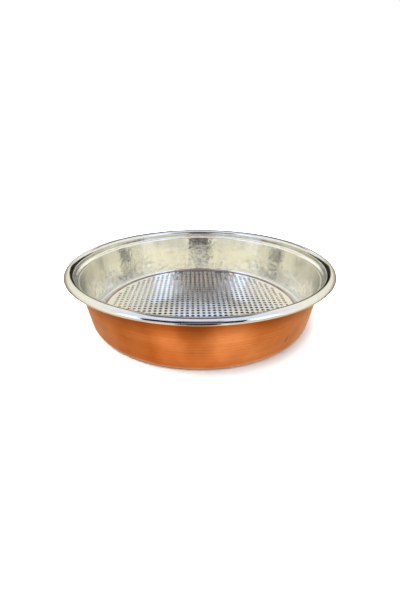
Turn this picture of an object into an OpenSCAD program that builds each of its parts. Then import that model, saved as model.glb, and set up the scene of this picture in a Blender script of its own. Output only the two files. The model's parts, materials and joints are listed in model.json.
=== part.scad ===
// Round strainer pan: a spun copper pan with an inner pan of tinned sheet, a polished
// rolled rim, and a perforated floor held down by a bead ring.
// Millimetres, +Z up, origin at the centre of the face that it rests on.

/* [Pan] */
// Diameter across the rim
rim_d = 280; // [240:1:320]
// Height from the resting face to the top of the rim
pan_h = 60.5; // [50:0.5:75]
// Lean of the wall from upright, in degrees
wall_lean = 10; // [6:0.5:14]
// Outside radius between wall and base
corner_r = 8; // [7:0.5:10]
// Width of the flat foot inside that corner
foot_w = 4; // [2:0.5:5]
// Height of the base ledge's underside above the resting face
base_rise = 3.6; // [3:0.1:5]
// Diameter of the opening in the base ledge
base_open_d = 203; // [150:1:206]

/* [Sheet] */
// Thickness of the copper sheet
copper_t = 1.0; // [0.8:0.1:1.2]
// Thickness of the tinned inner sheet
liner_t = 0.6; // [0.5:0.1:0.8]
// Thickness of the rim and bead ring sheet
trim_t = 0.8; // [0.6:0.1:1]
// Film of solder between two sheets
seam = 0.05; // [0.03:0.01:0.08]

/* [Rim] */
// Width of the rolled rim, from its riser to its lip
rim_w = 9.9; // [8:0.1:12]
// Drop from the rim's crest to its lip
rim_drop = 3.6; // [3:0.1:4]
// Overhang of the rim past the copper wall
rim_over = 11; // [10.5:0.1:13]
// Depth of the seat inside the rim, below the crest
seat_drop = 9; // [8:0.1:11]
// Slope of that seat, in degrees
seat_slope = 19; // [10:1:25]
// Radius of the hem along the lip
hem_r = 0.9; // [0.8:0.05:1.2]
// Place of the crest across the rim, as a share of its width from the riser
crest_share = 0.475; // [0.45:0.005:0.5]

/* [Strainer plate] */
// Thickness of the perforated plate
plate_t = 1.0; // [0.8:0.1:1.2]
// How far the plate's edge stops short of the ring's crown
plate_short = 0.5; // [0.3:0.1:0.8]
// Diameter of one hole
hole_d = 4; // [3:0.1:4.4]
// Distance between holes, in a square grid
hole_pitch = 6; // [6:0.5:10]
// Diameter of the drilled field
field_d = 211; // [120:1:211]
// Turn of the grid, in degrees
grid_turn = 1.3; // [0:0.1:45]
// Shift of the grid from the centre, along X
grid_shift_x = -2.4; // [-3:0.1:3]
// Shift of the grid from the centre, along Y
grid_shift_y = -1.6; // [-3:0.1:3]

/* [Bead ring] */
// Width of the ring, from the plate to the wall
ring_w = 9; // [8:0.1:9.5]
// Drop from the ring's inner edge to its outer edge
ring_fall = 2.5; // [2:0.1:3]
// Height of the ring's crown above its two edges
ring_crown = 2; // [1.8:0.1:2.2]

/* [Hidden] */
$fn = 180;
hole_fn = 24;

rim_r = rim_d / 2;
lip_z = pan_h - rim_drop;
seat_z = pan_h - seat_drop;
body_r = rim_r - rim_over;

// Offsets of each sheet's faces from the copper's outside
liner_out = copper_t + seam;
liner_in = liner_out + liner_t;
ring_gap = liner_in + seam;

// Centre of the corner between wall and base
corner_z = corner_r;
corner_x = body_r - (corner_r + sin(wall_lean) * (lip_z - corner_z)) / cos(wall_lean);

// The base steps up inside the foot, at this slope
step_angle = 45;
foot_r = corner_x - foot_w;
step_r = foot_r - base_rise / tan(step_angle);
base_open_r = base_open_d / 2;

plate_z = base_rise + liner_in + seam;
plate_top = plate_z + plate_t;

// The ring's outer edge touches the inner wall, and its inner edge the plate
ring_out_z = plate_top - ring_fall;
ring_out_r = corner_x + sqrt(pow(corner_r - ring_gap, 2) - pow(corner_z - ring_out_z, 2));
ring_in_r = ring_out_r - ring_w;
ring_chord = norm([ring_w, ring_fall]);
ring_r = pow(ring_chord, 2) / (8 * ring_crown) + ring_crown / 2;
ring_tilt = atan2(ring_fall, ring_w);
ring_x = ring_out_r - ring_w / 2 - (ring_r - ring_crown) * sin(ring_tilt);
ring_z = ring_out_z + ring_fall / 2 - (ring_r - ring_crown) * cos(ring_tilt);
plate_r = ring_x - plate_short;

riser_r = rim_r - rim_w;
crest_r = riser_r + rim_w * crest_share;
crest_in_r = crest_r - riser_r;
crest_out_r = (pow(rim_r - crest_r, 2) + pow(rim_drop, 2)) / (2 * rim_drop);

// How far the two flanges reach under the rim
copper_reach = 2.4;
liner_reach = 3.4;
// How far a cutting shape goes past what it cuts
clear = 1;

// Radius of the wall's face at height z, for a face o inside the copper's outside
function wall_x(o, z) = body_r - o / cos(wall_lean) - (lip_z - z) * tan(wall_lean);

// Height of the seat's face at radius x, for a face o inside the copper's outside
function seat_y(o, x) = seat_z + (x - wall_x(liner_in, seat_z)) * tan(seat_slope)
    - (liner_in - o) / cos(seat_slope);

// Where wall and seat meet, for that face
function bend_x(o) = (wall_x(o, 0) + seat_y(o, 0) * tan(wall_lean))
    / (1 - tan(wall_lean) * tan(seat_slope));
function bend(o) = [bend_x(o), seat_y(o, bend_x(o))];

// Everything above and inside the face that lies o inside the copper's outside, out to
// radius reach. The shape that is cut away goes past the sheet's two edges.
module inside_of(o, reach, past) {
    q = corner_r - o;
    step = o * tan(step_angle / 2);
    translate([corner_x, corner_z]) circle(r = q);
    polygon([
        [base_open_r - past, base_rise + o],
        [step_r + step, base_rise + o],
        [foot_r + step, o],
        [corner_x, o],
        [corner_x + q * cos(wall_lean), corner_z - q * sin(wall_lean)],
        bend(o),
        [reach + past, seat_y(o, reach + past)],
        [reach + past, pan_h + past],
        [base_open_r - past, pan_h + past]
    ]);
}

// One spun sheet of thickness t, with its flange out to radius reach
module sheet_profile(o, t, reach) {
    difference() {
        inside_of(o, reach, 0);
        inside_of(o + t, reach, clear);
    }
}

module copper_pan() {
    color("#c4652a")
        rotate_extrude() sheet_profile(0, copper_t, riser_r + copper_reach);
}

module tinned_liner() {
    color("#c9c5b0")
        rotate_extrude() sheet_profile(liner_out, liner_t, riser_r + liner_reach);
}

// Quarter of a band of sheet round a centre, on the side that sx gives
module quarter_band(x, z, r, low, sx) {
    intersection() {
        translate([x, z]) difference() {
            circle(r = r);
            circle(r = r - trim_t);
        }
        translate([sx > 0 ? x : x - r - clear, low]) square([r + clear, 2 * r]);
    }
}

module rim_profile() {
    crest_in_z = pan_h - crest_in_r;
    quarter_band(crest_r, crest_in_z, crest_in_r, crest_in_z, -1);
    quarter_band(crest_r, pan_h - crest_out_r, crest_out_r, lip_z, 1);
    polygon([
        [riser_r, seat_y(ring_gap, riser_r)],
        [riser_r + trim_t, seat_y(ring_gap, riser_r + trim_t)],
        [riser_r + trim_t, crest_in_z],
        [riser_r, crest_in_z]
    ]);
    translate([rim_r - hem_r, lip_z]) circle(r = hem_r);
}

module rolled_rim() {
    color("#d3d7dc") rotate_extrude() rim_profile();
}

module hole_grid() {
    n = ceil(field_d / hole_pitch / 2) + 1;
    rotate(grid_turn)
        for (i = [-n : n], j = [-n : n]) {
            x = i * hole_pitch + grid_shift_x;
            y = j * hole_pitch + grid_shift_y;
            if (norm([x, y]) + hole_d / 2 <= field_d / 2)
                translate([x, y]) circle(d = hole_d, $fn = hole_fn);
        }
}

module strainer_plate() {
    color("#bfc0bc")
        translate([0, 0, plate_z]) linear_extrude(plate_t) difference() {
            circle(r = plate_r);
            hole_grid();
        }
}

module ring_profile() {
    low = plate_top + seam;
    intersection() {
        translate([ring_x, ring_z]) difference() {
            circle(r = ring_r);
            circle(r = ring_r - trim_t);
        }
        polygon([
            [base_open_r, low],
            [ring_x, low],
            [ring_x, ring_z],
            [body_r, ring_z],
            [body_r, seat_z],
            [base_open_r, seat_z]
        ]);
        inside_of(ring_gap, riser_r, 0);
    }
}

module bead_ring() {
    color("#c6cbd3") rotate_extrude() ring_profile();
}

copper_pan();
tinned_liner();
rolled_rim();
strainer_plate();
bead_ring();
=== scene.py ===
"""Round copper strainer pan: the looks of each piece, and a stage with soft light and a camera."""

import json
import math

import bmesh
import bpy
from mathutils import Matrix, Vector, noise

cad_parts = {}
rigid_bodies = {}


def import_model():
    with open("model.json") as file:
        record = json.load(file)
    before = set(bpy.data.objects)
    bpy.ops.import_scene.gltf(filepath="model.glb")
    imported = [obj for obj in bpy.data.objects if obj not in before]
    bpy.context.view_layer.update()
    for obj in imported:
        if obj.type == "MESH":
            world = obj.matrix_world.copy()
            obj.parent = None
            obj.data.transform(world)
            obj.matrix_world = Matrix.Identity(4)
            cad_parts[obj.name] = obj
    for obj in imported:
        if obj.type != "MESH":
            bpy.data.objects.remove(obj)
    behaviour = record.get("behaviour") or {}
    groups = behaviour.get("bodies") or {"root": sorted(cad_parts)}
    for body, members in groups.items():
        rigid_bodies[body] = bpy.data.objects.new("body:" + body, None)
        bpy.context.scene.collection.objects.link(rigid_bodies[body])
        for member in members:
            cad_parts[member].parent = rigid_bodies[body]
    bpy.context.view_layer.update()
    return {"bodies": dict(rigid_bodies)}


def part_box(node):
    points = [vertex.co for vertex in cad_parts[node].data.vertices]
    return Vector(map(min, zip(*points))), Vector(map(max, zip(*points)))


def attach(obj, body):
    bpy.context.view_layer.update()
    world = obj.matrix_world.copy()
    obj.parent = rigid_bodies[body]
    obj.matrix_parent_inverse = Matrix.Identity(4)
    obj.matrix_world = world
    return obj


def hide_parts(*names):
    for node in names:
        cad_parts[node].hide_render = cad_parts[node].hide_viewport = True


bl_info = {
    "name": "Strainer pan",
    "version": (1, 0, 0),
    "blender": (4, 5, 0),
    "location": "3D View > Sidebar > Strainer pan",
    "description": "Builds a spun copper strainer pan piece by piece",
    "category": "Object",
}

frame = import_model()
BODY = next(iter(frame["bodies"]))
MM = 0.001
# Rounding of a sheet's cut edge, as a share of its thickness
EDGE_ROUND = 0.3


def edge_of(node):
    """Outer radius of a round node, taken from its box."""
    low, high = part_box(node)
    return max(high.x, high.y, -low.x, -low.y)


def top_of(node):
    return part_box(node)[1].z


def bottom_of(node):
    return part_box(node)[0].z


def linear(code):
    """An sRGB hex colour as linear red, green and blue."""
    parts = [int(code[i : i + 2], 16) / 255 for i in (1, 3, 5)]
    return [p / 12.92 if p <= 0.04045 else ((p + 0.055) / 1.055) ** 2.4 for p in parts]


def length(name, description, millimetres):
    return bpy.props.FloatProperty(
        name=name,
        description=description,
        default=millimetres * MM,
        min=0,
        precision=5,
        unit="LENGTH",
    )


def turn(name, description, degrees):
    return bpy.props.FloatProperty(
        name=name, description=description, default=math.radians(degrees), subtype="ANGLE"
    )


def share(name, description, value):
    return bpy.props.FloatProperty(
        name=name, description=description, default=value, min=0, max=1, subtype="FACTOR"
    )


def colour(name, description, code):
    return bpy.props.FloatVectorProperty(
        name=name, description=description, default=linear(code), subtype="COLOR", min=0, max=1
    )


class StrainerPanSizes(bpy.types.PropertyGroup):
    """Sizes of the spun sheets, the rim and the floor plate"""

    wall_lean: turn("Wall lean", "Lean of the wall from upright", 10)
    corner: length("Corner", "Outside radius between wall and base", 8)
    foot: length("Foot", "Width of the flat foot inside the corner", 4)
    base_open: length("Base opening", "Radius of the opening in the base", 101.5)
    base_rise: length("Base rise", "Height of the base ledge above the foot", 3.6)
    step_slope: turn("Step slope", "Slope of the step from the foot to the ledge", 45)
    step_bend: length("Step bend", "Radius between the step and the ledge", 1)
    foot_bend: length("Foot bend", "Radius between the foot and the step", 2.4)
    seat_bend: length("Seat bend", "Radius between the wall and the seat", 0.8)
    copper: length("Copper", "Thickness of the copper sheet", 1.0)
    liner: length("Liner", "Thickness of the tinned liner", 0.6)
    trim: length("Trim", "Thickness of the rim and ring sheet", 0.8)
    seam: length("Seam", "Film of solder between two sheets", 0.05)
    rim_width: length("Rim width", "Width of the rim from riser to lip", 9.9)
    rim_drop: length("Rim drop", "Drop from the crest to the lip", 3.6)
    rim_over: length("Overhang", "Overhang of the rim past the wall", 11)
    seat_drop: length("Seat drop", "Depth of the seat below the crest", 9)
    seat_slope: turn("Seat slope", "Slope of the seat inside the rim", 19)
    hem: length("Hem", "Radius of the hem along the lip", 0.9)
    crest_share: share("Crest share", "Place of the crest across the rim, from its riser", 0.475)
    hole: length("Hole", "Diameter of one hole", 4)
    pitch: length("Pitch", "Distance between holes", 6)
    field: length("Field", "Radius of the drilled field", 105.5)
    grid_turn: turn("Grid turn", "Turn of the hole grid", 1.3)
    grid_shift: bpy.props.FloatVectorProperty(
        name="Grid shift",
        description="Shift of the hole grid from the centre",
        default=(-2.4 * MM, -1.6 * MM),
        size=2,
        precision=5,
        unit="LENGTH",
    )
    ring_width: length("Ring width", "Width of the bead ring", 9)
    ring_fall: length("Ring fall", "Drop of the ring from plate to wall", 2.5)
    ring_crown: length("Ring crown", "Height of the ring above its edges", 2)
    # Partly painted shade: the worn band at the ring's inner edge also stands for the shade where
    # the ring meets the plate
    worn_and_shaded_share: share("Worn share", "Part of the ring's width where the tin is worn", 0.6)
    dimple: length("Dimple", "Depth of the dimples in the liner", 0.2)
    buckle: length("Buckle", "Unevenness of the floor plate", 0.05)
    buckle_margin: length("Buckle margin", "Band at the plate's edge where unevenness fades", 12)
    # Painted shade: these two heights bound the band where the copper wall is drawn darker towards
    # the rim, for the shade under the rim's overhang
    rim_shade_low: length("Patina low", "Height where the dull copper starts", 34)
    rim_shade_high: length("Patina high", "Height where the copper is all dull", 52)
    scuff_turn: turn("Scuff turn", "Place of the scuff round the pan, right of the front", 38.5)
    scuff_height: length("Scuff height", "Height of the scuff above the foot", 17)
    scuff_slant: turn("Scuff slant", "Lean of the scuff from upright", 25)
    scuff_length: length("Scuff length", "Half the length of the scuff", 7)
    scuff_width: length("Scuff width", "Half the width of the scuff", 2)
    die_roll: length("Die roll", "Rounding that the punch leaves at a hole", 0.2)


class StrainerPanColours(bpy.types.PropertyGroup):
    """Colours of the metals"""

    copper: colour("Copper", "Bare copper", "#E49E6C")
    copper_dark: colour("Dark copper", "Copper where it has dulled", "#BC6A2C")
    # Painted shade: the dark colour of the copper wall just under the rim, where the rim's
    # overhang shades it
    painted_rim_shade: colour("Patina", "Copper that no cloth reaches, under the rim", "#8A4206")
    scuff: colour("Scuff", "Dark oxide where the copper was scuffed", "#5A2C10")
    tin: colour("Tin", "Wiped tin", "#F6F4EA")
    tin_dark: colour("Dark tin", "Thin or dull tin", "#ECEADC")
    plate: colour("Plate", "Tinned floor plate", "#F8F9FB")
    # Partly painted shade: this rose-brown is copper under worn tin and also the shade where the
    # ring meets the plate
    worn_and_shaded: colour("Worn", "Copper that shows through worn tin", "#A8705C")
    punched: colour("Punched", "Tin dragged down the wall of a hole", "#F0EBDC")
    punched_dark: colour("Dark punched", "Torn metal between the drags", "#948A7C")
    polish: colour("Polish", "Polished rim", "#F8F8F8")
    ring: colour("Ring", "Burnished bead ring", "#D6DCF0")


# ---------------------------------------------------------------- outlines


def arc(x, z, radius, start, end, steps):
    """Points along an arc, with both ends. Angles are in degrees."""
    angles = (math.radians(start + (end - start) * i / steps) for i in range(steps + 1))
    return [(x + radius * math.cos(a), z + radius * math.sin(a)) for a in angles]


def rounded(corners, degrees_per_step=5):
    """A closed outline through corners (x, z, radius), each rounded by its radius."""
    points = []
    for i, (x, z, radius) in enumerate(corners):
        here = Vector((x, z))
        before = Vector(corners[i - 1][:2]) - here
        after = Vector(corners[(i + 1) % len(corners)][:2]) - here
        opening = before.angle(after)
        if radius <= 0:
            points.append((x, z))
            continue
        bisector = (before.normalized() + after.normalized()).normalized()
        centre = here + bisector * radius / math.sin(opening / 2)
        first = here + before.normalized() * radius / math.tan(opening / 2) - centre
        last = here + after.normalized() * radius / math.tan(opening / 2) - centre
        sweep = first.angle_signed(last)
        steps = max(2, round(abs(math.degrees(sweep)) / degrees_per_step))
        begin = math.degrees(math.atan2(first.y, first.x))
        points += arc(*centre, radius, begin, begin - math.degrees(sweep), steps)
    return points


class Profile:
    """Where the faces of the nested sheets run, in the plane of the axis."""

    def __init__(self, sizes):
        self.sizes = sizes
        self.rim_x = edge_of("rolled_rim")
        self.top = top_of("rolled_rim")
        self.lip_z = self.top - sizes.rim_drop
        self.seat_z = self.top - sizes.seat_drop
        self.body_x = self.rim_x - sizes.rim_over
        self.liner_out = sizes.copper + sizes.seam
        self.liner_in = self.liner_out + sizes.liner
        lean = sizes.wall_lean
        reach = sizes.corner + math.sin(lean) * (self.lip_z - sizes.corner)
        self.foot_x = self.body_x - reach / math.cos(lean) - sizes.foot

    def wall(self, inset, z):
        """Radius of the wall at height z, on the face at this inset from the outside."""
        lean = self.sizes.wall_lean
        return self.body_x - inset / math.cos(lean) - (self.lip_z - z) * math.tan(lean)

    def seat(self, inset, x):
        """Height of the seat inside the rim at radius x, on that face."""
        slope = self.sizes.seat_slope
        rise = (x - self.wall(self.liner_in, self.seat_z)) * math.tan(slope)
        return self.seat_z + rise - (self.liner_in - inset) / math.cos(slope)

    def bend(self, inset):
        """Where wall and seat meet on that face."""
        lean, slope = math.tan(self.sizes.wall_lean), math.tan(self.sizes.seat_slope)
        x = (self.wall(inset, 0) + self.seat(inset, 0) * lean) / (1 - lean * slope)
        return x, self.seat(inset, x)

    def face(self, inset, reach, round_off):
        """Corners of one face of a sheet, from the base opening out to radius reach."""
        sizes = self.sizes
        step = inset * math.tan(sizes.step_slope / 2)
        step_x = self.foot_x - sizes.base_rise / math.tan(sizes.step_slope)
        return [
            (sizes.base_open, sizes.base_rise + inset, round_off),
            (step_x + step, sizes.base_rise + inset, sizes.step_bend + inset),
            (self.foot_x + step, inset, sizes.foot_bend - inset),
            (self.wall(inset, inset), inset, sizes.corner - inset),
            (*self.bend(inset), sizes.seat_bend + inset),
            (reach, self.seat(inset, reach), round_off),
        ]

    def sheet(self, inset, thickness, reach):
        """Closed outline of one sheet, whose outer face is at this inset."""
        round_off = thickness * EDGE_ROUND
        inner = self.face(inset + thickness, reach, round_off)
        return rounded(self.face(inset, reach, round_off) + inner[::-1])


# ---------------------------------------------------------------- meshes


def spun(points, steps, longest):
    """A bmesh of an outline spun round Z, with no edge of the outline over longest."""
    bm = bmesh.new()
    vertices = [bm.verts.new((x, 0, z)) for x, z in points]
    for i, vertex in enumerate(vertices):
        bm.edges.new((vertices[i - 1], vertex))
    for edge in list(bm.edges):
        cuts = math.ceil(edge.calc_length() / longest) - 1
        if cuts > 0:
            bmesh.ops.subdivide_edges(bm, edges=[edge], cuts=cuts)
    # One wedge is spun first and then copied round, which is far quicker than one long spin
    wedges = 16
    wedge = math.tau / wedges
    bmesh.ops.spin(
        bm,
        geom=bm.verts[:] + bm.edges[:],
        cent=(0, 0, 0),
        axis=(0, 0, 1),
        angle=wedge,
        steps=steps // wedges,
        use_duplicate=False,
    )
    bmesh.ops.spin(
        bm,
        geom=bm.verts[:] + bm.edges[:] + bm.faces[:],
        cent=(0, 0, 0),
        axis=(0, 0, 1),
        angle=math.tau - wedge,
        steps=wedges - 1,
        use_duplicate=True,
    )
    bmesh.ops.remove_doubles(bm, verts=bm.verts[:], dist=0.001 * MM)
    bmesh.ops.recalc_face_normals(bm, faces=bm.faces[:])
    return bm


def place(name, bm, node, material, sharp=50):
    """Makes the piece that stands for a CAD node. Edges over sharp degrees stay crisp."""
    mesh = bpy.data.meshes.new(name)
    bm.to_mesh(mesh)
    bm.free()
    mesh.shade_smooth()
    mesh.set_sharp_from_angle(angle=math.radians(sharp))
    mesh.materials.append(material)
    piece = bpy.data.objects.new(name, mesh)
    bpy.context.scene.collection.objects.link(piece)
    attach(piece, BODY)
    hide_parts(node)
    return piece


def dimpled(bm, profile, depth):
    """Presses shallow dents into the liner's inside, and small ones that deepen downwards."""
    low, high = top_of("bead_ring"), profile.seat_z
    skin = profile.liner_in
    near_face = 0.1 * MM
    broad_dent, small_dent = 16 * MM, 4.5 * MM
    apart = Vector((7, 3, 1))
    fade_low, fade_high = 0.06, 0.08
    for v in bm.verts:
        radius = math.hypot(v.co.x, v.co.y)
        if not low < v.co.z < high or abs(radius - profile.wall(skin, v.co.z)) > near_face:
            continue
        up = (v.co.z - low) / (high - low)
        edge = min(1, up / fade_low, (1 - up) / fade_high)
        broad = 0.8 * noise.noise(v.co / broad_dent)
        small = (0.4 + 1.8 * (1 - up) ** 2) * noise.noise(v.co / small_dent + apart)
        press = depth * edge * (broad + small)
        v.co.x *= 1 + press / radius
        v.co.y *= 1 + press / radius


def hole_cell(sizes, top, bottom):
    """A mesh of one square of the plate with its punched hole, open at its four sides.

    The hole's own wall takes the second material.
    """
    half, hole = sizes.pitch / 2, sizes.hole / 2
    bm = bmesh.new()
    ring = bmesh.ops.create_circle(bm, segments=16, radius=half)["verts"]
    edges = bm.edges[:]
    # Each ring of the cell: radius, or none for the square's edge, height and material
    rings = [
        (None, top, 0),
        (hole + sizes.die_roll, top, 0),
        (hole, top - sizes.die_roll, 0),
        (hole, bottom, 1),
        (None, bottom, 0),
    ]
    for step, (radius, z, material) in enumerate(rings):
        if step:
            new = bmesh.ops.extrude_edge_only(bm, edges=edges)["geom"]
            ring = [g for g in new if isinstance(g, bmesh.types.BMVert)]
            edges = [g for g in new if isinstance(g, bmesh.types.BMEdge)]
            for edge in edges:
                edge.link_faces[0].material_index = material
        for v in ring:
            across = Vector((v.co.x, v.co.y, 0))
            if radius is None:
                reach = half / max(abs(across.x), abs(across.y))
            else:
                reach = radius / across.length
            v.co = across * reach + Vector((0, 0, z))
    mesh = bpy.data.meshes.new("hole_cell")
    bm.to_mesh(mesh)
    bm.free()
    return mesh


def perforated(sizes, radius, top, bottom):
    """A bmesh of the floor plate: a field of punched squares in a plain round margin."""
    cell = hole_cell(sizes, top, bottom)
    shift = Vector(sizes.grid_shift)
    bm = bmesh.new()
    count = math.ceil(sizes.field / sizes.pitch) + 1
    for i in range(-count, count + 1):
        for j in range(-count, count + 1):
            spot = Vector((i, j)) * sizes.pitch + shift
            if spot.length + sizes.hole / 2 > sizes.field:
                continue
            cell.transform(Matrix.Translation((*spot, 0)))
            bm.from_mesh(cell)
            cell.transform(Matrix.Translation((*-spot, 0)))
    bpy.data.meshes.remove(cell)
    bmesh.ops.remove_doubles(bm, verts=bm.verts[:], dist=0.005 * MM)
    bmesh.ops.rotate(bm, verts=bm.verts[:], matrix=Matrix.Rotation(sizes.grid_turn, 3, "Z"))
    rims = []
    for z in (top, bottom):
        open_edges = [e for e in bm.edges if e.is_boundary]
        stairs = [e for e in open_edges if all(abs(v.co.z - z) < 0.01 * MM for v in e.verts)]
        circle = bmesh.ops.create_circle(bm, segments=192, radius=radius)["verts"]
        bmesh.ops.translate(bm, verts=circle, vec=(0, 0, z))
        rim = list({e for v in circle for e in v.link_edges})
        bmesh.ops.triangle_fill(bm, edges=stairs + rim, use_beauty=True)
        rims += rim
    bmesh.ops.bridge_loops(bm, edges=rims)
    bmesh.ops.recalc_face_normals(bm, faces=bm.faces[:])
    return bm


# ---------------------------------------------------------------- materials


def add(tree, kind, inputs=None, **options):
    """Adds a node. Each input is a value, or an output of another node to link from."""
    node = tree.nodes.new(kind)
    for name, value in options.items():
        setattr(node, name, value)
    for name, value in (inputs or {}).items():
        if isinstance(value, bpy.types.NodeSocket):
            tree.links.new(value, node.inputs[name])
        else:
            node.inputs[name].default_value = value
    return node


def surface(name, **values):
    """A material with its shader's plain values set. Gives the material, tree and shader."""
    material = bpy.data.materials.new(name)
    material.use_nodes = True
    tree = material.node_tree
    shader = tree.nodes["Principled BSDF"]
    for key, value in values.items():
        shader.inputs[key.replace("_", " ")].default_value = value
    return material, tree, shader


def opaque(rgb):
    return (*rgb, 1)


def scuffed(tree, tone, place_at, sizes, spot, rgb):
    """A slanting dark scuff over a tone, broken up by fine scratches about 1 mm apart."""
    inside = add(
        tree,
        "ShaderNodeMapping",
        {
            "Vector": place_at,
            "Location": spot,
            "Rotation": (0, sizes.scuff_slant, sizes.scuff_turn),
            "Scale": (sizes.scuff_width, sizes.scuff_length, sizes.scuff_length),
        },
        vector_type="TEXTURE",
    )
    away = add(tree, "ShaderNodeVectorMath", {0: inside.outputs["Vector"]}, operation="LENGTH")
    near = add(
        tree,
        "ShaderNodeMapRange",
        {"Value": away.outputs["Value"], "To Min": 1, "To Max": 0},
        interpolation_type="SMOOTHSTEP",
    )
    scratches = add(
        tree,
        "ShaderNodeTexNoise",
        {"Vector": place_at, "Scale": 1 / (1 * MM), "Detail": 2, "Roughness": 0.6},
    )
    marks = add(
        tree,
        "ShaderNodeMapRange",
        {"Value": scratches.outputs["Fac"], "From Min": 0.2, "From Max": 0.6},
    )
    both = add(
        tree,
        "ShaderNodeMath",
        {0: near.outputs[0], 1: marks.outputs[0]},
        operation="MULTIPLY",
    )
    return add(
        tree,
        "ShaderNodeMix",
        {"Factor": both.outputs[0], "A": tone, "B": opaque(rgb)},
        data_type="RGBA",
    ).outputs["Result"]


def spun_copper(colours, sizes, scuff_at):
    """Bare copper, spun on a lathe and left to dull, and drawn darker towards the rim as painted
    shade from the rim's overhang.

    The tool leaves fine rings, which stretch each highlight up and down the wall. The real
    rings are about 0.2 mm apart, and are drawn here 0.8 mm apart, so that they show.
    """
    material, tree, shader = surface("spun_copper", Metallic=1, Anisotropic=0.4)
    place_at = add(tree, "ShaderNodeTexCoord").outputs["Object"]
    stretch = add(
        tree, "ShaderNodeMapping", {"Vector": place_at, "Scale": (6, 6, 1 / (0.8 * MM))}
    )
    rings = add(
        tree,
        "ShaderNodeTexNoise",
        {"Vector": stretch.outputs["Vector"], "Scale": 1, "Detail": 3, "Roughness": 0.7},
    )
    cloud = add(
        tree,
        "ShaderNodeTexNoise",
        {"Vector": place_at, "Scale": 1 / (45 * MM), "Detail": 4, "Roughness": 0.55},
    )
    both = add(
        tree,
        "ShaderNodeMath",
        {0: rings.outputs["Fac"], 1: 0.5, 2: cloud.outputs["Fac"]},
        operation="MULTIPLY_ADD",
    )
    ramp = add(
        tree,
        "ShaderNodeMapRange",
        {"Value": both.outputs[0], "From Min": 0.58, "From Max": 1.1},
    )
    tone = add(
        tree,
        "ShaderNodeMix",
        {"Factor": ramp.outputs[0], "A": opaque(colours.copper_dark), "B": opaque(colours.copper)},
        data_type="RGBA",
    )
    gloss = add(
        tree,
        "ShaderNodeMapRange",
        {
            "Value": cloud.outputs["Fac"],
            "From Min": 0.3,
            "From Max": 0.7,
            "To Min": 0.36,
            "To Max": 0.24,
        },
    )
    bump = add(
        tree,
        "ShaderNodeBump",
        {"Height": rings.outputs["Fac"], "Strength": 0.15, "Distance": 0.1 * MM},
    )
    tangent = add(tree, "ShaderNodeTangent", direction_type="RADIAL", axis="Z")
    axes = add(tree, "ShaderNodeSeparateXYZ", {"Vector": place_at})
    # Painted shade: the wall darkens upwards towards the rim, for the shade under the rim's
    # overhang
    under = add(
        tree,
        "ShaderNodeMapRange",
        {
            "Value": axes.outputs["Z"],
            "From Min": sizes.rim_shade_low,
            "From Max": sizes.rim_shade_high,
        },
    )
    rim_shaded = add(
        tree,
        "ShaderNodeMix",
        {"Factor": under.outputs[0], "A": tone.outputs["Result"], "B": opaque(colours.painted_rim_shade)},
        data_type="RGBA",
    )
    worn_and_shaded = scuffed(tree, rim_shaded.outputs["Result"], place_at, sizes, scuff_at, colours.scuff)
    tree.links.new(worn_and_shaded, shader.inputs["Base Color"])
    tree.links.new(gloss.outputs[0], shader.inputs["Roughness"])
    tree.links.new(bump.outputs[0], shader.inputs["Normal"])
    tree.links.new(tangent.outputs[0], shader.inputs["Tangent"])
    return material


def wiped_tin(colours):
    """Molten tin wiped over the sheet with a cloth.

    It is warmer and softer than steel, with up and down wipe marks about 8 mm wide, thin
    grey spots and a faint orange-peel of about 4 mm.
    """
    material, tree, shader = surface("wiped_tin", Metallic=0.92)
    place_at = add(tree, "ShaderNodeTexCoord").outputs["Object"]
    stretch = add(
        tree,
        "ShaderNodeMapping",
        {"Vector": place_at, "Scale": (1 / (8 * MM), 1 / (8 * MM), 1 / (60 * MM))},
    )
    wipes = add(
        tree,
        "ShaderNodeTexNoise",
        {"Vector": stretch.outputs["Vector"], "Scale": 1, "Detail": 4, "Roughness": 0.6},
    )
    peel = add(
        tree,
        "ShaderNodeTexNoise",
        {"Vector": place_at, "Scale": 1 / (4 * MM), "Detail": 2, "Roughness": 0.5},
    )
    ramp = add(
        tree,
        "ShaderNodeMapRange",
        {"Value": wipes.outputs["Fac"], "From Min": 0.25, "From Max": 0.6},
    )
    tone = add(
        tree,
        "ShaderNodeMix",
        {"Factor": ramp.outputs[0], "A": opaque(colours.tin_dark), "B": opaque(colours.tin)},
        data_type="RGBA",
    )
    gloss = add(
        tree,
        "ShaderNodeMapRange",
        {
            "Value": wipes.outputs["Fac"],
            "From Min": 0.3,
            "From Max": 0.7,
            "To Min": 0.09,
            "To Max": 0.15,
        },
    )
    bump = add(
        tree,
        "ShaderNodeBump",
        {"Height": peel.outputs["Fac"], "Strength": 0.6, "Distance": 0.24 * MM},
    )
    tree.links.new(tone.outputs["Result"], shader.inputs["Base Color"])
    tree.links.new(gloss.outputs[0], shader.inputs["Roughness"])
    tree.links.new(bump.outputs[0], shader.inputs["Normal"])
    return material


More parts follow.
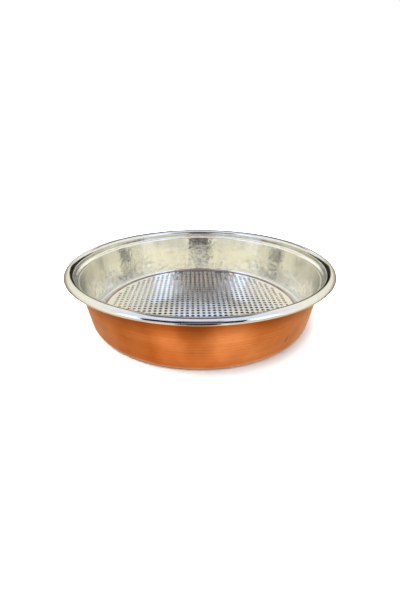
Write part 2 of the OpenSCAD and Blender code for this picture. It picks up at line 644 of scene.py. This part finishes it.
def worn_tin_and_contact_shade(material, rgb, radii):
    """Copper that shows through worn tin towards the inner of two radii, darkened there as painted
    shade where the ring meets the plate.
    """
    tree = material.node_tree
    shader = tree.nodes["Principled BSDF"]
    place_at = add(tree, "ShaderNodeTexCoord").outputs["Object"]
    across = add(
        tree, "ShaderNodeVectorMath", {0: place_at, 1: (1, 1, 0)}, operation="MULTIPLY"
    )
    radius = add(
        tree, "ShaderNodeVectorMath", {0: across.outputs["Vector"]}, operation="LENGTH"
    )
    band = add(
        tree,
        "ShaderNodeMapRange",
        {
            "Value": radius.outputs["Value"],
            "From Min": radii[0],
            "From Max": radii[1],
            "To Min": 1,
            "To Max": 0,
        },
        interpolation_type="SMOOTHSTEP",
    )
    patches = add(
        tree,
        "ShaderNodeTexNoise",
        {"Vector": place_at, "Scale": 1 / (14 * MM), "Detail": 3, "Roughness": 0.6},
    )
    worn_and_shaded = add(
        tree,
        "ShaderNodeMapRange",
        {"Value": patches.outputs["Fac"], "From Min": 0.3, "From Max": 0.6, "To Min": 0.45},
    )
    both = add(
        tree,
        "ShaderNodeMath",
        {0: band.outputs[0], 1: worn_and_shaded.outputs[0]},
        operation="MULTIPLY",
    )
    plain = shader.inputs["Base Color"].links[0].from_socket
    tone = add(
        tree,
        "ShaderNodeMix",
        {"Factor": both.outputs[0], "A": plain, "B": opaque(rgb)},
        data_type="RGBA",
    )
    tree.links.new(tone.outputs["Result"], shader.inputs["Base Color"])


def punched_edge(colours):
    """The cut wall of each hole: tin dragged over the sheet by the punch, dull and torn.

    The tears, about 0.8 mm apart, break the light up, so that the holes have no bright ring.
    """
    material, tree, shader = surface("punched_edge", Metallic=1, Roughness=0.55)
    place_at = add(tree, "ShaderNodeTexCoord").outputs["Object"]
    tears = add(
        tree,
        "ShaderNodeTexNoise",
        {"Vector": place_at, "Scale": 1 / (0.8 * MM), "Detail": 2, "Roughness": 0.6},
    )
    tone = add(
        tree,
        "ShaderNodeMix",
        {
            "Factor": tears.outputs["Fac"],
            "A": opaque(colours.punched_dark),
            "B": opaque(colours.punched),
        },
        data_type="RGBA",
    )
    bump = add(
        tree,
        "ShaderNodeBump",
        {"Height": tears.outputs["Fac"], "Strength": 0.4, "Distance": 0.1 * MM},
    )
    tree.links.new(tone.outputs["Result"], shader.inputs["Base Color"])
    tree.links.new(bump.outputs[0], shader.inputs["Normal"])
    return material


def polished_tin(name, rgb, roughness):
    """Tinned sheet burnished on the lathe.

    It is a soft mirror, dulled in places by handling marks about 7 mm across.
    """
    dull_roughness, dull_shade = 1.8, 0.86
    dull = opaque([channel * dull_shade for channel in rgb])
    material, tree, shader = surface(name, Metallic=1)
    place_at = add(tree, "ShaderNodeTexCoord").outputs["Object"]
    marks = add(
        tree,
        "ShaderNodeTexNoise",
        {"Vector": place_at, "Scale": 1 / (7 * MM), "Detail": 5, "Roughness": 0.6},
    )
    gloss = add(
        tree,
        "ShaderNodeMapRange",
        {
            "Value": marks.outputs["Fac"],
            "From Min": 0.3,
            "From Max": 0.7,
            "To Min": roughness,
            "To Max": roughness * dull_roughness,
        },
    )
    shade = add(
        tree,
        "ShaderNodeMix",
        {"Factor": marks.outputs["Fac"], "A": dull, "B": opaque(rgb)},
        data_type="RGBA",
    )
    bump = add(
        tree,
        "ShaderNodeBump",
        {"Height": marks.outputs["Fac"], "Strength": 0.15, "Distance": 0.2 * MM},
    )
    tree.links.new(shade.outputs["Result"], shader.inputs["Base Color"])
    tree.links.new(gloss.outputs[0], shader.inputs["Roughness"])
    tree.links.new(bump.outputs[0], shader.inputs["Normal"])
    return material


# ---------------------------------------------------------------- stage


# Each card that the metal mirrors: name, place, width and height in metres, roll in
# degrees, colour and brightness.
CARDS = (
    ("dark_high", (-0.05, -0.56, 0.52), 0.96, 0.34, 0, "#50608C", 0.18),
    ("grey_top", (0.0, -0.46, 0.84), 0.42, 0.3, 0, "#B8A496", 0.9),
    ("grey_front", (0.03, -0.56, 0.38), 0.25, 0.2, 0, "#9A9498", 0.6),
    ("dark_front", (0.0, -0.56, 0.13), 0.27, 0.32, 12, "#5E5C62", 0.08),
    ("dim_left", (-0.44, -0.56, 0.12), 0.5, 0.4, 0, "#E4E0CC", 0.9),
    ("dim_right", (0.44, -0.56, 0.12), 0.5, 0.4, 0, "#E4E0CC", 0.84),
    ("dark_low", (-0.07, -0.54, -0.17), 0.25, 0.42, 10, "#5A4030", 0.5),
    ("cool_left", (-0.7, -0.5, 0.66), 0.36, 0.4, 0, "#C8DCFF", 2.0),
    ("cool_right", (0.66, -0.52, 0.66), 0.36, 0.4, 0, "#C8DCFF", 2.0),
    ("cool_back", (0.0, 1.1, 0.82), 0.3, 0.44, 0, "#D8E2F8", 1.15),
    ("dark_over", (0.0, 0.64, 1.02), 0.8, 0.8, 0, "#8C7E86", 0.6),
    ("dark_back", (0.02, 1.1, 0.4), 0.9, 0.26, 0, "#5E525C", 0.08),
    ("dark_horizon", (0.0, 1.12, 0.0), 1.0, 0.72, 0, "#6C6670", 0.5),
    ("near_left", (-0.14, 0.43, 0.08), 0.2, 0.24, 0, "#4A443C", 0.3),
    ("near_right", (0.14, 0.43, 0.08), 0.26, 0.26, 0, "#4A443C", 0.2),
    ("bounce_left", (-0.3, -0.55, -0.42), 0.3, 0.3, 0, "#FFE8D0", 1.7),
    ("bounce_right", (0.33, -0.55, -0.42), 0.42, 0.3, 0, "#FFE8D0", 1.45),
    ("bounce_low", (0.0, -0.45, -0.6), 0.5, 0.2, 0, "#FFE0C0", 1.2),
)

# The soft room that the metal mirrors. Each stop: height and colour.
ROOM_STRENGTH = 1.2
ROOM = (
    (-1.0, "#E6CDA8"),
    (-0.45, "#D8B888"),
    (-0.15, "#8A8278"),
    (0.02, "#A8A090"),
    (0.16, "#DEDAC8"),
    (0.5, "#EAE8D8"),
    (0.85, "#D2DAEA"),
)


# The floor, and the paper drum that stands round it, in metres
FLOOR_COLOUR = "#F7F7F7"
FLOOR_HALF = 3
FLOOR_DROP = 0.1 * MM
DRUM_HIGH = 8
DRUM_STRENGTH = 1.05

# The round of painted shade under the pan: its radius, height and colours, the middle of its
# dark patch, and where that patch starts and ends to fade
SHADE_DISC_RADIUS = 0.1
SHADE_DISC_HEIGHT = 0.2 * MM
SHADE_DISC_DARK = "#2A1B13"
SHADE_DISC_PALE = "#B8A890"
SHADE_DISC_MIDDLE = (0.01, -0.03, 0)
SHADE_DISC_FADE = (0.06, 0.12)

# The lamp: place, size in metres and power in watts
LAMP_AT = (-0.3, 0.2, 2.2)
LAMP_SIZE = 3
LAMP_POWER = 300

# The camera: place, tilt below level in degrees, and lens and sensor in millimetres
CAMERA_AT = (0, -0.3304, 0.1678)
CAMERA_TILT = 25.57
CAMERA_LENS = 18.89
CAMERA_SENSOR = 36


def stand(scene, name, bm, material):
    """Makes one piece of the stage."""
    mesh = bpy.data.meshes.new(name)
    bm.to_mesh(mesh)
    bm.free()
    mesh.materials.append(material)
    thing = bpy.data.objects.new(name, mesh)
    scene.collection.objects.link(thing)
    return thing


# ---------------------------------------------------------------- operators


def settings():
    scene = bpy.context.scene
    return scene.strainer_pan_sizes, scene.strainer_pan_colours


class MakeCopperPan(bpy.types.Operator):
    """Makes the spun copper pan"""

    bl_idname = "strainer_pan.copper_pan"
    bl_label = "Copper pan"

    def execute(self, context):
        sizes, colours = settings()
        profile = Profile(sizes)
        outline = profile.sheet(0, sizes.copper, edge_of("copper_pan"))
        bm = spun(outline, steps=288, longest=4 * MM)
        radius = profile.wall(0, sizes.scuff_height)
        across = Vector((math.sin(sizes.scuff_turn), -math.cos(sizes.scuff_turn), 0))
        scuff_at = radius * across + Vector((0, 0, sizes.scuff_height))
        material = spun_copper(colours, sizes, scuff_at)
        place("copper_shell", bm, "copper_pan", material)
        return {"FINISHED"}


class MakeLiner(bpy.types.Operator):
    """Makes the tinned inner pan"""

    bl_idname = "strainer_pan.liner"
    bl_label = "Tinned liner"

    def execute(self, context):
        sizes, colours = settings()
        profile = Profile(sizes)
        outline = profile.sheet(profile.liner_out, sizes.liner, edge_of("tinned_liner"))
        bm = spun(outline, steps=400, longest=1.8 * MM)
        dimpled(bm, profile, sizes.dimple)
        place("wiped_liner", bm, "tinned_liner", wiped_tin(colours))
        return {"FINISHED"}


class MakeRim(bpy.types.Operator):
    """Makes the polished rolled rim"""

    bl_idname = "strainer_pan.rim"
    bl_label = "Rolled rim"

    def execute(self, context):
        sizes, colours = settings()
        profile = Profile(sizes)
        riser_x = profile.rim_x - sizes.rim_width
        crest_x = riser_x + sizes.rim_width * sizes.crest_share
        inner = crest_x - riser_x
        outer = ((profile.rim_x - crest_x) ** 2 + sizes.rim_drop**2) / (2 * sizes.rim_drop)
        lip = math.degrees(math.asin((outer - sizes.rim_drop) / outer))
        hem_start, hem_end, hem_cover = -5, -200, 4
        gap = profile.liner_in + sizes.seam
        outline = [(riser_x, profile.seat(gap, riser_x))]
        outline += arc(crest_x, profile.top - inner, inner, 180, 90, 18)[:-1]
        outline += arc(crest_x, profile.top - outer, outer, 90, lip, 16)
        outline += arc(profile.rim_x - sizes.hem, profile.lip_z, sizes.hem, hem_start, hem_end, 16)
        outline += arc(crest_x, profile.top - outer, outer - sizes.trim, lip + hem_cover, 90, 12)
        outline += arc(crest_x, profile.top - inner, inner - sizes.trim, 90, 180, 12)[1:]
        outline += [(riser_x + sizes.trim, profile.seat(gap, riser_x + sizes.trim))]
        bm = spun(outline, steps=288, longest=2.5 * MM)
        material = polished_tin("burnished_rim", colours.polish, 0.08)
        place("polished_rim", bm, "rolled_rim", material)
        return {"FINISHED"}


class MakePlate(bpy.types.Operator):
    """Makes the perforated floor plate"""

    bl_idname = "strainer_pan.plate"
    bl_label = "Strainer plate"

    def execute(self, context):
        sizes, colours = settings()
        radius = edge_of("strainer_plate")
        bm = perforated(sizes, radius, top_of("strainer_plate"), bottom_of("strainer_plate"))
        wave = 16 * MM
        for v in bm.verts:
            spot = Vector((v.co.x, v.co.y, 0))
            fade = min(1, max(0, (radius - spot.length) / sizes.buckle_margin))
            v.co.z += sizes.buckle * fade * noise.noise(spot / wave)
        material = polished_tin("tinned_sheet", colours.plate, 0.1)
        plate = place("punched_plate", bm, "strainer_plate", material, sharp=30)
        plate.data.materials.append(punched_edge(colours))
        return {"FINISHED"}


class MakeRing(bpy.types.Operator):
    """Makes the bead ring that holds the plate down"""

    bl_idname = "strainer_pan.ring"
    bl_label = "Bead ring"

    def execute(self, context):
        sizes, colours = settings()
        outer_x, top = edge_of("bead_ring"), top_of("bead_ring")
        chord = math.hypot(sizes.ring_width, sizes.ring_fall)
        radius = chord**2 / (8 * sizes.ring_crown) + sizes.ring_crown / 2
        tilt = math.atan2(sizes.ring_fall, sizes.ring_width)
        middle = outer_x - sizes.ring_width / 2 - (radius - sizes.ring_crown) * math.sin(tilt)
        low = top - radius
        rest = top_of("strainer_plate") + sizes.seam
        # Each face of the ring's sheet: radius, the angle where it ends, and its direction
        outer_end, inner_end = 27, 22
        faces = ((radius, outer_end, 1), (radius - sizes.trim, inner_end, -1))
        outline = []
        for r, end, way in faces:
            start = 180 - math.degrees(math.asin((rest - low) / r))
            outline += arc(middle, low, r, start, end, 20)[::way]
        bm = spun(outline, steps=288, longest=2 * MM)
        material = polished_tin("burnished_ring", colours.ring, 0.07)
        inner_x = outer_x - sizes.ring_width
        worn_and_shaded_x = inner_x + sizes.ring_width * sizes.worn_and_shaded_share
        # Worn tin and painted contact shade, darkest at the ring's inner edge where it meets the
        # plate
        worn_tin_and_contact_shade(material, colours.worn_and_shaded, (inner_x, worn_and_shaded_x))
        place("polished_ring", bm, "bead_ring", material)
        return {"FINISHED"}


class MakeStage(bpy.types.Operator):
    """Makes the floor, the soft light and the camera"""

    bl_idname = "strainer_pan.stage"
    bl_label = "Stage"

    def execute(self, context):
        scene = context.scene
        scene.view_settings.view_transform = "Standard"
        self.floor(scene)
        self.painted_shade_disc(scene)
        self.backdrop(scene)
        self.world(scene)
        self.lamp(scene)
        for card in CARDS:
            self.card(scene, *card)
        self.camera(scene)
        return {"FINISHED"}

    def floor(self, scene):
        bm = bmesh.new()
        bmesh.ops.create_grid(bm, x_segments=1, y_segments=1, size=FLOOR_HALF)
        bmesh.ops.translate(bm, verts=bm.verts[:], vec=(0, 0, -FLOOR_DROP))
        material, _, shader = surface("white_card", Roughness=0.9)
        shader.inputs["Base Color"].default_value = opaque(linear(FLOOR_COLOUR))
        floor = stand(scene, "floor", bm, material)
        floor.visible_glossy = False

    def painted_shade_disc(self, scene):
        """A round of painted shade under the pan, darkest under its middle, which shows only
        through the holes.
        """
        bm = bmesh.new()
        bmesh.ops.create_circle(bm, cap_ends=True, segments=96, radius=SHADE_DISC_RADIUS)
        bmesh.ops.translate(bm, verts=bm.verts[:], vec=(0, 0, SHADE_DISC_HEIGHT))
        material, tree, shader = surface("under_pan_shade", Roughness=0.7)
        place_at = add(tree, "ShaderNodeTexCoord").outputs["Object"]
        away = add(
            tree, "ShaderNodeVectorMath", {0: place_at, 1: SHADE_DISC_MIDDLE}, operation="DISTANCE"
        )
        # Painted shade: darkest under the middle of the pan, paler outwards
        start, end = SHADE_DISC_FADE
        fade = add(
            tree,
            "ShaderNodeMapRange",
            {"Value": away.outputs["Value"], "From Min": start, "From Max": end},
            interpolation_type="SMOOTHSTEP",
        )
        dark, pale = opaque(linear(SHADE_DISC_DARK)), opaque(linear(SHADE_DISC_PALE))
        tone = add(
            tree,
            "ShaderNodeMix",
            {"Factor": fade.outputs[0], "A": dark, "B": pale},
            data_type="RGBA",
        )
        tree.links.new(tone.outputs["Result"], shader.inputs["Base Color"])
        stand(scene, "painted_shade_disc", bm, material)

    def backdrop(self, scene):
        """A pale drum far round the floor, for the camera only."""
        bm = bmesh.new()
        bmesh.ops.create_cone(
            bm,
            segments=64,
            radius1=FLOOR_HALF,
            radius2=FLOOR_HALF,
            depth=DRUM_HIGH,
            cap_ends=False,
        )
        material, _, shader = surface("pale_paper", Emission_Strength=DRUM_STRENGTH)
        shader.inputs["Base Color"].default_value = (0, 0, 0, 1)
        shader.inputs["Emission Color"].default_value = (1, 1, 1, 1)
        drum = stand(scene, "backdrop", bm, material)
        drum.visible_glossy = False
        drum.visible_diffuse = False
        drum.visible_shadow = False

    def world(self, scene):
        """A soft room: pale above, dim round the horizon and warm below, tilted to the front."""
        world = bpy.data.worlds.new("soft_room")
        world.use_nodes = True
        tree = world.node_tree
        way = add(tree, "ShaderNodeTexCoord").outputs["Generated"]
        height = add(
            tree, "ShaderNodeVectorMath", {0: way, 1: (0, -0.2, 1)}, operation="DOT_PRODUCT"
        )
        unit = add(
            tree,
            "ShaderNodeMapRange",
            {"Value": height.outputs["Value"], "From Min": -1, "From Max": 1},
        )
        room = add(tree, "ShaderNodeValToRGB", {"Fac": unit.outputs[0]})
        stops = room.color_ramp.elements
        while len(stops) < len(ROOM):
            stops.new(0.5)
        for stop, (level, code) in zip(stops, ROOM):
            stop.position = (level + 1) / 2
            stop.color = opaque(linear(code))
        background = tree.nodes["Background"]
        tree.links.new(room.outputs["Color"], background.inputs["Color"])
        background.inputs["Strength"].default_value = ROOM_STRENGTH
        scene.world = world

    def card(self, scene, name, spot, wide, high, roll, code, strength):
        """A card that faces the pan, and shows only in what mirrors it."""
        bm = bmesh.new()
        bmesh.ops.create_grid(bm, x_segments=1, y_segments=1, size=0.5)
        facing = (-Vector(spot)).to_track_quat("-Z", "Y").to_matrix()
        rolled = facing @ Matrix.Rotation(math.radians(roll), 3, "Z")
        bmesh.ops.scale(bm, verts=bm.verts[:], vec=(wide, high, 1))
        bmesh.ops.rotate(bm, verts=bm.verts[:], matrix=rolled)
        bmesh.ops.translate(bm, verts=bm.verts[:], vec=spot)
        material, _, shader = surface(name + "_card", Emission_Strength=strength)
        shader.inputs["Base Color"].default_value = (0, 0, 0, 1)
        shader.inputs["Emission Color"].default_value = opaque(linear(code))
        shader.inputs["Specular IOR Level"].default_value = 0
        card = stand(scene, name, bm, material)
        card.visible_camera = False
        card.visible_diffuse = False
        card.visible_shadow = False

    def lamp(self, scene):
        """A broad lamp above and to the left, for the floor and its faint shadow."""
        spot = Vector(LAMP_AT)
        light = bpy.data.lights.new("lamp", "AREA")
        light.size = LAMP_SIZE
        light.energy = LAMP_POWER
        lamp = bpy.data.objects.new("lamp", light)
        lamp.location = spot
        lamp.rotation_euler = (-spot).to_track_quat("-Z", "Y").to_euler()
        lamp.visible_glossy = False
        scene.collection.objects.link(lamp)

    def camera(self, scene):
        data = bpy.data.cameras.new("camera")
        data.sensor_width = CAMERA_SENSOR
        data.lens = CAMERA_LENS
        camera = bpy.data.objects.new("camera", data)
        camera.location = CAMERA_AT
        camera.rotation_euler = (math.radians(90 - CAMERA_TILT), 0, 0)
        scene.collection.objects.link(camera)
        scene.camera = camera


PIECES = (MakeCopperPan, MakeLiner, MakeRim, MakePlate, MakeRing)


class StrainerPanPanel(bpy.types.Panel):
    """Lists the pieces and the stage"""

    bl_idname = "VIEW3D_PT_strainer_pan"
    bl_label = "Strainer pan"
    bl_space_type = "VIEW_3D"
    bl_region_type = "UI"
    bl_category = "Strainer pan"

    def draw(self, context):
        for maker in (*PIECES, MakeStage):
            self.layout.operator(maker.bl_idname)
        for group in settings():
            for name in group.__annotations__:
                self.layout.prop(group, name)


CLASSES = (StrainerPanSizes, StrainerPanColours, *PIECES, MakeStage, StrainerPanPanel)


def register():
    for cls in CLASSES:
        bpy.utils.register_class(cls)
    bpy.types.Scene.strainer_pan_sizes = bpy.props.PointerProperty(type=StrainerPanSizes)
    bpy.types.Scene.strainer_pan_colours = bpy.props.PointerProperty(type=StrainerPanColours)


def unregister():
    del bpy.types.Scene.strainer_pan_sizes
    del bpy.types.Scene.strainer_pan_colours
    for cls in reversed(CLASSES):
        bpy.utils.unregister_class(cls)


def main():
    register()
    for maker in (MakeStage, *PIECES):
        group, name = maker.bl_idname.split(".")
        getattr(getattr(bpy.ops, group), name)()


if __name__ == "__main__":
    main()
